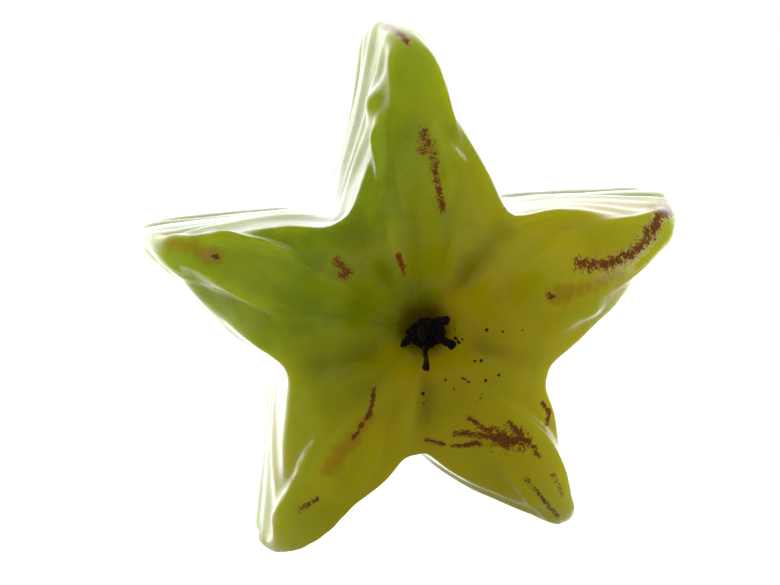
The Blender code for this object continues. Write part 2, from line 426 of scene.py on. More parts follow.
@dataclass(frozen=True)
class SepalFinish:
    """Dry sepal: papery brown with darker veins and a dark tip."""

    slot: str = "sepal"
    dark: Colour = (0.035, 0.018, 0.008)
    light: Colour = (0.170, 0.095, 0.040)

    def make(self) -> bpy.types.Material:
        """Build the material.

        Returns:
            The sepals' material.
        """
        sepal = Shader(self.slot, 0.8)
        blotch = sepal.noise(1.0, 3.0, 0.5)
        veins = sepal.attribute("veins")
        colour = sepal.mix((blotch + sepal.attribute("tip") * 0.5).smooth(0.35, 0.9), self.light, self.dark)
        sepal.paint(sepal.mix(veins * 0.6, colour, self.dark))
        sepal.gloss(0.6 + blotch * 0.35)
        sepal.bump(blotch * 0.6 + veins * 0.4, 0.12)
        return sepal.material


@dataclass(frozen=True)
class TableFinish:
    """Plain pale table that glows, white where the camera sees it and bright only behind the fruit."""

    pale: Colour = (0.55, 0.55, 0.55)
    cloudy: Colour = (0.53, 0.53, 0.53)
    seen_glow: Colour = (0.42, 0.42, 0.42)
    front_glow: Colour = (0.03, 0.03, 0.03)
    back_glow: Colour = (1.0, 1.0, 1.0)
    glow: float = 2.4

    def make(self) -> bpy.types.Material:
        """Build the material.

        Returns:
            The table's material.
        """
        table = Shader("white_table", 0.6)
        cloud = table.noise(400.0, 1.0)
        table.paint(table.mix(cloud, self.pale, self.cloudy))
        seen = Value(table, table.node("ShaderNodeLightPath", {}, {}).outputs["Is Camera Ray"])
        behind = table.axes()[1].smooth(-0.04, 0.08)
        glow = table.mix(seen, table.mix(behind, self.front_glow, self.back_glow), self.seen_glow)
        table.uniform(Emission_Color=glow, Emission_Strength=self.glow)
        return table.material


# ---------------------------------------------------------------------------------------------------------
# Surfaces
# ---------------------------------------------------------------------------------------------------------


def unit(angle: np.ndarray) -> np.ndarray:
    """Directions of angles in the X-Z plane, as (x, z) in a last axis."""
    turn = np.radians(angle)
    return np.stack([np.cos(turn), np.sin(turn)], -1)


def soft_step(value: np.ndarray, low: float, high: float) -> np.ndarray:
    """Cubic step 3t^2 - 2t^3, with t from 0 at low to 1 at high."""
    t = np.clip((value - low) / (high - low), 0.0, 1.0)
    return t * t * (3.0 - 2.0 * t)


def soft_fall(value: np.ndarray, low: float, high: float) -> np.ndarray:
    """Cubic step that falls from 1 at low to 0 at high."""
    return 1.0 - soft_step(value, low, high)


def bell(value: np.ndarray, middle: float, width: float) -> np.ndarray:
    """Bell that is 1 at its middle and 1/e at its width to either side."""
    return np.exp(-(((value - middle) / width) ** 2))


def lattice_noise(points: np.ndarray, size: float, seed: int) -> np.ndarray:
    """Smooth random field: random numbers on the corners of cubes, blended between them by cubic steps.

    Args:
        points: places, as (..., 3).
        size: the side of a cube, in the same unit.
        seed: which random field.

    Returns:
        Values from -1 to 1, one for each place.
    """
    table = np.random.default_rng(seed).uniform(-1.0, 1.0, 4096)
    scaled = points / size
    corner = np.floor(scaled).astype(np.int64)
    part = scaled - corner
    blend = part * part * (3.0 - 2.0 * part)
    total = np.zeros(points.shape[:-1])
    for offset in np.ndindex(2, 2, 2):
        at = corner + np.array(offset)
        index = (at[..., 0] * 73856093 ^ at[..., 1] * 19349663 ^ at[..., 2] * 83492791) % len(table)
        weights = np.where(np.array(offset) == 1, blend, 1.0 - blend)
        total += table[index] * weights.prod(-1)
    return total


def uniform_spline_weights(places: np.ndarray, count: int, closed: bool) -> np.ndarray:
    """Weights of a uniform cubic B-spline's control rows at places along it.

    At place i + t the four rows from i - 1 weigh (1-t)^3, 3t^3 - 6t^2 + 4, -3t^3 + 3t^2 + 3t + 1 and t^3,
    all over 6. A closed spline wraps round. An open one has a row beyond each end, twice the end row less
    its neighbour, so it starts and ends on its end rows.

    Args:
        places: where to read the spline, in rows from the first.
        count: how many control rows there are.
        closed: whether the spline wraps round.

    Returns:
        An array of places by rows.
    """
    first = np.floor(places).astype(int)
    if not closed:
        first = np.minimum(first, count - 2)
    t = places - first
    second, third = 3 * t**3 - 6 * t**2 + 4, -3 * t**3 + 3 * t**2 + 3 * t + 1
    four = np.stack([(1 - t) ** 3, second, third, t**3], 1) / 6.0
    weights = np.zeros((len(places), count + 2))
    rows = np.arange(len(places))
    for step in range(4):
        column = (first + step - 1) % count + 1 if closed else first + step
        np.add.at(weights, (rows, column), four[:, step])
    if not closed:
        weights[:, 1] += 2.0 * weights[:, 0]
        weights[:, 2] -= weights[:, 0]
        weights[:, -2] += 2.0 * weights[:, -1]
        weights[:, -3] -= weights[:, -1]
    return weights[:, 1:-1]


def closed_surface(name: str, rings: np.ndarray, start: np.ndarray, end: np.ndarray) -> bpy.types.Object:
    """Mesh of rings of points joined by quads and closed at both ends by a fan round a point.

    The order of each quad is (ring, column), (next, column), (next, next), (ring, next), so its normal is
    the direction along the rings times the direction round them.

    Args:
        name: the object's name.
        rings: points in metres, as (rings, columns, 3).
        start: the point that closes the first ring.
        end: the point that closes the last ring.

    Returns:
        The new object, at the origin, smooth shaded.
    """
    count, columns = rings.shape[:2]
    points = np.concatenate([rings.reshape(-1, 3), [start], [end]])
    around = np.arange(columns)
    following = (around + 1) % columns
    base = np.arange(count - 1)[:, None] * columns
    corners = (base + around, base + columns + around, base + columns + following, base + following)
    quads = np.stack(corners, -1).reshape(-1, 4)
    first, last = count * columns, count * columns + 1
    fan_start = np.stack([np.full(columns, first), around, following], -1)
    far = (count - 1) * columns
    fan_end = np.stack([np.full(columns, last), far + following, far + around], -1)
    mesh = bpy.data.meshes.new(name)
    mesh.vertices.add(len(points))
    mesh.vertices.foreach_set("co", points.astype(np.float32).ravel())
    loops = np.concatenate([quads.ravel(), fan_start.ravel(), fan_end.ravel()])
    sizes = np.concatenate([np.full(len(quads), 4), np.full(2 * columns, 3)])
    mesh.loops.add(len(loops))
    mesh.loops.foreach_set("vertex_index", loops.astype(np.int32))
    mesh.polygons.add(len(sizes))
    mesh.polygons.foreach_set("loop_start", (np.cumsum(sizes) - sizes).astype(np.int32))
    mesh.update(calc_edges=True)
    mesh.validate()
    mesh.shade_smooth()
    piece = bpy.data.objects.new(name, mesh)
    bpy.context.scene.collection.objects.link(piece)
    return piece


def set_attribute(piece: bpy.types.Object, name: str, rings: np.ndarray, start: float, end: float) -> None:
    """Give a closed surface a number at each point.

    Args:
        piece: an object from closed_surface.
        name: the attribute's name.
        rings: the numbers on its rings, as (rings, columns).
        start: the number at the point that closes the first ring.
        end: the number at the point that closes the last ring.
    """
    values = np.concatenate([rings.ravel(), [start, end]]).astype(np.float32)
    piece.data.attributes.new(name, "FLOAT", "POINT").data.foreach_set("value", values)


def bezier(points: np.ndarray, places: np.ndarray) -> np.ndarray:
    """Bezier curve: at t, control point k of n + 1 weighs n over k, times t^k (1-t)^(n-k).

    Args:
        points: the control points, as (points, axes).
        places: where to read the curve, from 0 to 1.

    Returns:
        Points on the curve, as (places, axes).
    """
    degree = len(points) - 1
    k = np.arange(degree + 1)
    choose = np.array([math.comb(degree, int(i)) for i in k])
    t = places[:, None]
    return (choose * t**k * (1.0 - t) ** (degree - k)) @ points


def tube_rings(path: np.ndarray, radii: np.ndarray, columns: int, across: np.ndarray) -> np.ndarray:
    """Rings of a round tube: each is the path's point plus radius times the circle across its direction.

    Args:
        path: points along the middle, as (rings, 3).
        radii: the radius at each ring and column, as (rings, columns) or (rings, 1).
        columns: how many points each ring has.
        across: a direction that is never along the path; the first column lies towards it.

    Returns:
        Points, as (rings, columns, 3), in an order that faces out.
    """
    along = np.gradient(path, axis=0)
    along /= np.linalg.norm(along, axis=1, keepdims=True)
    side = across - (along @ across)[:, None] * along
    side /= np.linalg.norm(side, axis=1, keepdims=True)
    other = np.cross(side, along)
    turn = np.linspace(0.0, math.tau, columns, endpoint=False)
    circle = side[:, None] * np.cos(turn)[:, None] + other[:, None] * np.sin(turn)[:, None]
    return path[:, None] + circle * np.broadcast_to(radii, (len(path), columns))[..., None]


def node_middle(node: str) -> np.ndarray:
    """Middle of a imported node's box, in metres."""
    low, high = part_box(node)
    return (np.array(low) + np.array(high)) / 2.0


def fit_to_box(points: np.ndarray, node: str) -> np.ndarray:
    """Stretch points a little along each axis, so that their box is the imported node's box.

    Args:
        points: places in metres, with the axes in a last axis.
        node: the node whose box they take.

    Returns:
        The moved places.
    """
    low, high = (np.array(corner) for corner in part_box(node))
    flat = points.reshape(-1, 3)
    own_low, own_high = flat.min(0), flat.max(0)
    return low + (points - own_low) / (own_high - own_low) * (high - low)


def put(piece: bpy.types.Object, node: str, material: bpy.types.Material) -> None:
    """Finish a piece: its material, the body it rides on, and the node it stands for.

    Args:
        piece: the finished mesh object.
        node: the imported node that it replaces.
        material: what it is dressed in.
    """
    piece.data.materials.append(material)
    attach(piece, "root")
    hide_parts(node)
    log.info("%s: %d faces, stands for %s", piece.name, len(piece.data.polygons), node)


# ---------------------------------------------------------------------------------------------------------
# The fruit
# ---------------------------------------------------------------------------------------------------------


@dataclass(frozen=True)
class Rib:
    """One rib: direction, height from the axis, half widths at the blossom end and midway, and its shape.

    The swells bulge its two sides, the lean moves its crest sideways near the blossom end, and the sway
    phase says where it starts to weave.
    """

    angle: float
    height: float
    front_half_width: float
    body_half_width: float
    swell_before: float
    swell_after: float
    front_lean: float
    sway_phase: float


@dataclass(frozen=True)
class Station:
    """One ring of the cage: where crests and grooves cross it, and their share of each size there."""

    crest_y: float
    crest_share: float
    groove_y: float
    groove_share: float
    width_share: float
    body_share: float


class MarkKind(Enum):
    """How a mark looks, which is also the name of the mesh attribute that holds its distance."""

    RUB = "rub"
    SMEAR = "smear"
    SPECK = "speck"


class Place(Enum):
    """Which rib something lies on, as its number in RIBS."""

    RIGHT = 0
    TOP = 1
    LEFT = 2
    LOWER_LEFT = 3
    LOWER_RIGHT = 4


@dataclass(frozen=True)
class RibLine:
    """A broken line on a rib's front, as points (how far out along the rib, how far anticlockwise of it)."""

    place: Place
    points: tuple[Pair, ...]

    def flat(self) -> np.ndarray:
        """Place the line: each point is so far out along the rib's direction, and so far across it.

        Returns:
            Its points as (x, z) from the fruit's axis.
        """
        out, across = np.array(self.points).T[..., None]
        angle = np.array(RIBS[self.place.value].angle)
        return out * unit(angle) + across * unit(angle + 90.0)


@dataclass(frozen=True)
class Mark:
    """A mark on the blossom end: its kind, its half width, and the line it runs along."""

    kind: MarkKind
    half_width: float
    line: RibLine


@dataclass(frozen=True)
class Fold:
    """A raised fold on the blossom end, or a crease if its height is negative."""

    height: float
    half_width: float
    line: RibLine


RIBS = (
    Rib(16.0, 38.0, 4.3, 1.2, 0.0, 0.0, -0.8, 40.0),
    Rib(87.5, 38.0, 3.8, 2.0, -1.5, -1.5, -1.3, 150.0),
    Rib(160.5, 35.5, 3.2, 1.2, 0.0, 0.0, -1.0, 260.0),
    Rib(236.0, 37.0, 3.3, 1.2, -0.5, -0.8, 0.6, 0.0),
    Rib(301.5, 36.0, 3.3, 1.2, 0.4, -0.8, 0.8, 80.0),
)
GROOVES = ((44.5, 17.5), (123.0, 15.5), (194.5, 17.5), (261.5, 15.5), (331.5, 16.5))
STATIONS = (
    Station(3.0, 0.00, 3.0, 0.00, 0.00, 0.00),
    Station(2.6, 0.06, 2.8, 0.11, 0.25, 0.00),
    Station(0.3, 0.15, 0.9, 0.27, 0.60, 0.00),
    Station(0.8, 0.29, 1.6, 0.55, 0.95, 0.00),
    Station(5.5, 0.50, 4.6, 0.80, 1.10, 0.00),
    Station(12.8, 0.72, 9.8, 0.94, 1.00, 0.15),
    Station(22.0, 0.90, 21.0, 0.99, 0.72, 0.50),
    Station(36.0, 0.985, 37.0, 1.00, 0.75, 0.95),
    Station(54.0, 1.00, 54.0, 1.00, 1.00, 1.00),
    Station(68.0, 0.98, 67.0, 0.98, 1.00, 1.00),
    Station(82.0, 0.91, 80.0, 0.89, 1.00, 0.90),
    Station(94.0, 0.77, 91.0, 0.73, 1.00, 0.60),
    Station(103.0, 0.56, 99.0, 0.54, 1.00, 0.30),
    Station(107.5, 0.34, 103.0, 0.37, 0.85, 0.00),
    Station(106.5, 0.18, 103.5, 0.24, 0.50, 0.00),
    Station(102.6, 0.07, 102.2, 0.11, 0.25, 0.00),
    Station(102.0, 0.00, 102.0, 0.00, 0.00, 0.00),
)
MARKS = (
    Mark(MarkKind.RUB, 0.80, RibLine(Place.RIGHT, ((20.0, 0.0), (23.0, -1.5), (27.0, -2.0), (30.0, -1.0)))),
    Mark(MarkKind.RUB, 0.95, RibLine(Place.RIGHT, ((30.0, -1.0), (33.0, 0.5), (37.0, 0.5)))),
    Mark(MarkKind.SMEAR, 1.60, RibLine(Place.RIGHT, ((16.0, -2.5), (20.0, -3.0), (24.0, -3.5)))),
    Mark(MarkKind.RUB, 0.35, RibLine(Place.RIGHT, ((15.0, -2.0), (15.5, -2.5)))),
    Mark(MarkKind.RUB, 0.45, RibLine(Place.TOP, ((23.0, -1.5), (20.5, -1.0)))),
    Mark(MarkKind.RUB, 0.40, RibLine(Place.TOP, ((21.5, -2.5), (17.0, -2.5), (13.5, -3.0)))),
    Mark(MarkKind.RUB, 0.40, RibLine(Place.TOP, ((8.5, 2.5), (6.5, 2.0)))),
    Mark(MarkKind.RUB, 0.40, RibLine(Place.TOP, ((36.5, 1.5), (35.0, 0.0), (33.5, -1.0)))),
    Mark(MarkKind.RUB, 0.45, RibLine(Place.TOP, ((13.5, -11.0), (13.0, -12.0)))),
    Mark(MarkKind.RUB, 0.55, RibLine(Place.LEFT, ((11.5, -5.0), (10.0, -4.0), (10.5, -3.5)))),
    Mark(MarkKind.SMEAR, 1.40, RibLine(Place.LEFT, ((31.0, -1.5), (25.0, -1.5)))),
    Mark(MarkKind.RUB, 0.40, RibLine(Place.LEFT, ((26.0, -1.5), (25.0, -1.5)))),
    Mark(MarkKind.RUB, 0.30, RibLine(Place.LOWER_LEFT, ((9.0, -1.5), (11.5, -0.5), (15.5, -0.5)))),
    Mark(MarkKind.SMEAR, 1.30, RibLine(Place.LOWER_LEFT, ((12.5, 0.0), (16.0, -0.5), (20.5, -1.0)))),
    Mark(MarkKind.RUB, 0.35, RibLine(Place.LOWER_LEFT, ((27.0, -1.0), (24.5, 0.0)))),
    Mark(MarkKind.RUB, 0.45, RibLine(Place.LOWER_RIGHT, ((12.5, -4.5), (15.0, -2.0), (17.0, 0.0)))),
    Mark(MarkKind.RUB, 1.30, RibLine(Place.LOWER_RIGHT, ((16.0, -1.0), (18.0, 1.0)))),
    Mark(MarkKind.RUB, 0.35, RibLine(Place.LOWER_RIGHT, ((12.0, -2.0), (15.5, -1.0)))),
    Mark(MarkKind.RUB, 0.35, RibLine(Place.LOWER_RIGHT, ((14.0, -5.5), (15.5, -3.0)))),
    Mark(MarkKind.RUB, 0.35, RibLine(Place.LOWER_RIGHT, ((15.5, 1.5), (21.5, 2.0)))),
    Mark(MarkKind.RUB, 0.30, RibLine(Place.LOWER_RIGHT, ((16.5, 6.0), (18.0, 6.0), (19.0, 5.0)))),
    Mark(MarkKind.RUB, 0.25, RibLine(Place.LOWER_RIGHT, ((25.0, 2.0), (28.5, 1.5)))),
    Mark(MarkKind.RUB, 0.28, RibLine(Place.LOWER_RIGHT, ((23.0, -1.0), (31.0, -0.5)))),
    Mark(MarkKind.RUB, 0.40, RibLine(Place.LOWER_RIGHT, ((11.5, -7.5), (13.0, -6.5)))),
)
FOLDS = (
    Fold(0.95, 0.65, RibLine(Place.TOP, ((15.0, 4.0), (21.0, 3.5), (31.0, 3.0)))),
    Fold(0.70, 0.70, RibLine(Place.TOP, ((15.5, -4.0), (21.0, -3.5), (27.0, -2.5)))),
    Fold(0.60, 0.60, RibLine(Place.TOP, ((22.5, -3.5), (19.5, -5.0), (17.5, -7.5)))),
    Fold(0.50, 0.70, RibLine(Place.TOP, ((14.5, 4.0), (8.0, 2.5), (4.0, 0.5)))),
    Fold(0.50, 0.70, RibLine(Place.TOP, ((13.5, -4.5), (8.5, -4.0), (4.5, -2.5)))),
    Fold(0.80, 0.65, RibLine(Place.LEFT, ((28.5, -2.5), (21.5, -4.0), (14.5, -4.5)))),
    Fold(0.80, 0.65, RibLine(Place.LEFT, ((30.0, 0.0), (22.5, 1.0), (15.0, 3.0)))),
    Fold(0.80, 1.00, RibLine(Place.RIGHT, ((12.5, -6.0), (24.0, -6.0)))),
    Fold(0.90, 0.60, RibLine(Place.LOWER_LEFT, ((16.0, -4.0), (23.0, -3.0), (32.5, -1.5)))),
    Fold(0.35, 0.80, RibLine(Place.LOWER_LEFT, ((5.0, 1.5), (13.5, 5.0)))),
    Fold(0.70, 0.70, RibLine(Place.LOWER_RIGHT, ((20.5, -2.5), (25.0, -1.5), (30.0, -1.0)))),
    Fold(-0.50, 1.20, RibLine(Place.LOWER_RIGHT, ((3.0, -1.5), (12.0, -9.0)))),
    Fold(-0.50, 1.90, RibLine(Place.TOP, ((2.5, -2.5), (7.5, -6.0), (13.5, -12.5)))),
    Fold(-0.50, 1.90, RibLine(Place.TOP, ((3.0, 1.5), (8.0, 5.5), (13.0, 9.5)))),
    Fold(-0.45, 1.80, RibLine(Place.LEFT, ((2.5, 2.0), (8.5, 6.5), (14.5, 10.0)))),
    Fold(-0.45, 1.80, RibLine(Place.RIGHT, ((2.5, -2.0), (12.0, -11.5)))),
)


@dataclass
class Fruit:
    """The fruit: a smooth surface through a star-shaped cage, with rippled sides, lipped crests and marks.

    Reach is the distance from the fruit's axis, depth the distance behind the front of the ribs, and
    fraction how far down a rib's side something is, from 0 on the crest to 1 in the groove.
    """

    node: str = "fruit"
    sway: float = 0.9
    sway_length: float = 41.0
    widest_share_of_height: float = 0.31
    shoulder: Pair = (0.22, 0.85)
    below: Pair = (0.85, 1.15)
    side_shares: Pair = (0.45, 0.88)
    sway_shares: tuple[float, ...] = (0.1, 0.45, 0.85, 1.0, 1.0, 1.0, 0.85, 0.45, 0.1, 0.0)
    ring_counts: tuple[int, ...] = (8, 12, 18, 26, 28, 24, 18, 14, 12, 12, 10, 10, 10, 8, 6, 4)
    column_counts: tuple[int, ...] = (13, 13, 6, 5, 5, 6, 13, 13, 7, 7)
    front_bulge: float = 1.4
    soft_columns: float = 15.0
    soft_reach: Pair = (12.0, 20.0)
    soft_depth: Pair = (7.0, 16.0)
    ripple_height: float = 0.90
    ripple_waves: tuple[Pair, ...] = ((17.0, 0.45), (10.5, 0.35), (6.8, 0.2))
    ripple_slant: float = 1.5
    ripple_start: Pair = (10.0, 28.0)
    ripple_stop: Pair = (92.0, 105.0)
    ripple_side: tuple[Pair, Pair] = ((0.05, 0.45), (0.7, 1.0))
    lip_height: float = 0.30
    lip_patch: float = 9.0
    lip_reach: Pair = (8.0, 16.0)
    lip_depth: Pair = (20.0, 34.0)
    lip_edge: Pair = (0.26, 0.36)
    bead: Pair = (0.25, 0.06)
    dent_height: float = 0.12
    dent_size: float = 5.0
    dent_reach: Pair = (6.0, 14.0)
    rim_height: float = 0.45
    rim_slope: Pair = (-0.36, 0.14)
    rim_reach: Pair = (9.0, 13.0)
    rim_depth: Pair = (38.0, 48.0)
    spoke_height: float = 0.50
    spoke_sizes: Pair = (0.30, 0.16)
    spoke_reach: Pair = (3.0, 9.0)
    fold_patch: float = 3.0
    fold_unevenness: float = 0.45
    fold_taper: Pair = (0.0, 4.5)
    front_limit: tuple[float, float, float] = (50.0, 8.0, 6.0)
    blossom_half: float = 50.0
    ripe_depth: Pair = (18.0, 45.0)
    ripe_turn: float = -45.0
    ripe_warmth: Pair = (0.05, 0.75)
    heart_reach: Pair = (1.2, 5.2)
    shade_reach: Pair = (6.0, 18.0)
    crest_glow_side: Pair = (0.1, 0.5)
    crest_glow_reach: Pair = (16.0, 34.0)
    streak_sizes: Pair = (0.07, 0.03)
    far_from_marks: float = 9.0
    wear_patch: float = 5.0
    wear_share: Pair = (0.45, 0.75)
    wear_side: Pair = (0.06, 0.16)
    wear_depth: Pair = (42.0, 50.0)
    speck_count: int = 26
    speck_turns: Pair = (-100.0, 0.0)
    speck_reach: Pair = (3.4, 12.0)
    speck_size: Pair = (0.11, 0.26)
    seed: int = 11

    def cage(self) -> np.ndarray:
        """Control points of the surface.

        A crest's point is its height times the station's share along the rib's direction. On each side a
        shoulder and a lower point round it off, two more lie on the way down to the groove, bulged by a half
        sine, and one lies in the groove. Ribs weave by a sine along the fruit.

        Returns:
            Points from the axis and the front of the ribs in millimetres, as (stations, columns, 3).
        """
        stations = np.array([astuple(station) for station in STATIONS]).T[:, :, None]
        crest_y, crest_share, groove_y, groove_share, width_share, body_share = stations
        ribs = np.array([astuple(rib) for rib in RIBS]).T
        angle, height, wide, body, swell_before, swell_after, front_lean, phase = ribs
        groove_angle, groove_radius = np.array(GROOVES).T
        outward = unit(angle)
        sideways = unit(angle + 90.0)
        crest = (height * crest_share)[..., None]
        half = np.minimum((wide * (1.0 - body_share) + body * body_share) * width_share,
                          self.widest_share_of_height * crest[..., 0])[..., None]
        bottoms = unit(groove_angle) * (groove_radius * groove_share)[..., None]

        front = 2.0 * crest_share * (1.0 - body_share)

        def side(sign: float, bottom: np.ndarray, swell: np.ndarray) -> list[tuple[np.ndarray, ...]]:
            """Four points of one side of every rib, from the shoulder down.

            Args:
                sign: 1 for the side anticlockwise of the crest, -1 for the other.
                bottom: the groove's point on that side.
                swell: how far that side bulges.

            Returns:
                Each point's place (x, z) and depth.
            """
            across = sign * sideways
            shoulder = outward * (crest - self.shoulder[0] * half) + across * self.shoulder[1] * half
            below = outward * (crest - self.below[0] * half) + across * self.below[1] * half
            slope = bottom - below
            normal = np.stack([slope[..., 1], -slope[..., 0]], -1)
            normal *= np.sign((normal * across).sum(-1, keepdims=True))
            normal /= np.maximum(np.linalg.norm(slope, axis=-1, keepdims=True), 1e-6)
            places = [(shoulder, crest_y), (below, crest_y)]
            for share in self.side_shares:
                swollen = swell * crest_share + self.front_bulge * front
                bulge = (swollen * math.sin(math.pi * share))[..., None]
                place = below * (1.0 - share) + bottom * share + normal * bulge
                places.append((place, crest_y * (1.0 - share) + groove_y * share))
            return places

        before = side(-1.0, np.roll(bottoms, 1, axis=1), swell_before)
        after = side(1.0, bottoms, swell_after)
        columns = [*reversed(before), (outward * crest, crest_y), *after, (bottoms, groove_y)]
        turn = np.radians(360.0 * crest_y / self.sway_length + phase)
        lean = self.sway * np.maximum(0.0, crest_share - 0.5) * 2.0 * np.sin(turn) + front_lean * front
        points = []
        for (place, depth), share in zip(columns, self.sway_shares):
            moved = place + sideways * (lean * share)[..., None]
            points.append(np.stack([moved[..., 0], np.broadcast_to(depth, lean.shape), moved[..., 1]], -1))
        return np.stack(points, 2).reshape(len(STATIONS), -1, 3)

    @staticmethod
    def _places(counts: Sequence[int]) -> np.ndarray:
        """Places along a spline, with so many evenly spaced in each stretch between control rows."""
        return np.concatenate([np.arange(count) / count + index for index, count in enumerate(counts)])

    def build(self) -> bpy.types.Object:
        """Work out the surface, its fine shape and its attributes.

        Returns:
            The fruit's object.
        """
        cage = self.cage()
        along = np.append(self._places(self.ring_counts), float(len(STATIONS) - 1))
        around = self._places(self.column_counts * len(RIBS))
        along_weights = uniform_spline_weights(along, cage.shape[0], closed=False)
        around_weights = uniform_spline_weights(around, cage.shape[1], closed=True)
        surface = np.einsum("ai,ijc,bj->abc", along_weights, cage, around_weights)
        rib = (around // 10).astype(int)
        offset = around % 10.0 - 4.0
        side = np.where(offset > 5.0, -1.0, np.sign(offset))
        rib = np.where(offset > 5.0, (rib + 1) % len(RIBS), rib)
        fraction = np.where(offset > 5.0, 10.0 - offset, np.abs(offset)) / 5.0
        surface = self._soften(surface)
        surface = self._shape(surface, rib, side, fraction)
        points = fit_to_box(surface * MM, self.node)
        start, end = points[0].mean(0), points[-1].mean(0)
        piece = closed_surface("star_fruit_skin", points[1:-1], start, end)
        self._colour(piece, surface[1:-1], fraction)
        return piece

    def _soften(self, surface: np.ndarray) -> np.ndarray:
        """Round off the grooves near the flower, where every ring is blended with a bell average of itself.

        Args:
            surface: points in millimetres, as (rings, columns, 3).

        Returns:
            The moved points.
        """
        columns = surface.shape[1]
        steps = np.minimum(np.arange(columns), columns - np.arange(columns))
        shares = np.exp(-0.5 * (steps / self.soft_columns) ** 2)
        blended = np.fft.fft(surface, axis=1) * np.fft.fft(shares / shares.sum())[:, None]
        blend = np.fft.ifft(blended, axis=1).real
        reach = np.hypot(surface[..., 0], surface[..., 2])
        weight = soft_fall(reach, *self.soft_reach) * soft_fall(surface[..., 1], *self.soft_depth)
        return surface + (blend - surface) * weight[..., None]

    def _shape(
        self, surface: np.ndarray, rib: np.ndarray, side: np.ndarray, fraction: np.ndarray
    ) -> np.ndarray:
        """Add ripples, lips, small dents, a rim round the blossom end, and its folds.

        Ripples are sums of three sines along the fruit, strongest halfway down a rib's side and fading
        towards the blossom end. A lip raises the crest above a soft step a third of the way down the side.
        The rim stands where the surface turns from facing forwards to facing sideways.

        Args:
            surface: points in millimetres, as (rings, columns, 3).
            rib: the rib of each column.
            side: -1 or 1 for the side of the rib that each column is on.
            fraction: 0 at the crest to 1 in the groove, for each column.

        Returns:
            The moved points.
        """
        random = np.random.default_rng(self.seed)
        along = np.gradient(surface, axis=0)
        around = np.roll(surface, -1, axis=1) - np.roll(surface, 1, axis=1)
        normal = np.cross(along, around)
        normal /= np.maximum(np.linalg.norm(normal, axis=-1, keepdims=True), 1e-9)
        depth = surface[..., 1]
        which = rib * 2 + (side > 0.0)
        height = np.zeros(depth.shape)
        for length, share in self.ripple_waves:
            phase = random.uniform(0.0, math.tau, 2 * len(RIBS))[which]
            slant = random.uniform(-self.ripple_slant, self.ripple_slant, 2 * len(RIBS))[which]
            height += share * np.sin(math.tau * depth / length + phase + slant * fraction)
        fade = soft_step(depth, *self.ripple_start) * soft_fall(depth, *self.ripple_stop)
        upper, lower = self.ripple_side
        profile = soft_step(fraction, *upper) * soft_fall(fraction, *lower)
        height *= self.ripple_height * fade * profile
        patch = lattice_noise(surface, self.lip_patch, self.seed) * 0.5 + 0.7
        reach = np.hypot(surface[..., 0], surface[..., 2])
        lip = self.lip_height * patch * soft_step(reach, *self.lip_reach)
        lip *= 1.0 - 0.8 * soft_step(depth, *self.lip_depth)
        height += lip * (0.6 * soft_fall(fraction, *self.lip_edge) + 0.5 * bell(fraction, *self.bead))
        dents = lattice_noise(surface, self.dent_size, self.seed + 1)
        height += self.dent_height * dents * soft_step(reach, *self.dent_reach)
        rim = bell(normal[..., 1], *self.rim_slope) * soft_step(reach, *self.rim_reach)
        height += self.rim_height * rim * soft_fall(depth, *self.rim_depth)
        return surface + normal * (height + self._folds(surface))[..., None]

    def _folds(self, surface: np.ndarray) -> np.ndarray:
        """Relief of the blossom end: soft folds that run out from the flower, and the listed folds.

        Args:
            surface: points in millimetres, as (rings, columns, 3).

        Returns:
            How far each point is raised, in millimetres.
        """
        x, depth, z = np.moveaxis(surface, -1, 0)
        reach = np.hypot(x, z)
        front = self._front(reach, depth)
        uneven = 1.0 + self.fold_unevenness * lattice_noise(surface, self.fold_patch, self.seed + 2)
        wheel = np.stack([x / (reach + 1.0), reach / 30.0, z / (reach + 1.0)], -1)
        broad, narrow = self.spoke_sizes
        spokes = lattice_noise(wheel, broad, self.seed + 6) * 0.6
        spokes += lattice_noise(wheel, narrow, self.seed + 7) * 0.4
        height = self.spoke_height * spokes * soft_step(reach, *self.spoke_reach) * front
        for fold in FOLDS:
            points = fold.line.flat()
            away = self._distance(x, z, points) / fold.half_width
            ends = [np.hypot(x - px, z - pz) for px, pz in points[[0, -1]]]
            taper = soft_step(ends[0], *self.fold_taper) * soft_step(ends[1], *self.fold_taper)
            height += fold.height * np.exp(-(away**2)) * front * taper * uneven
        return height

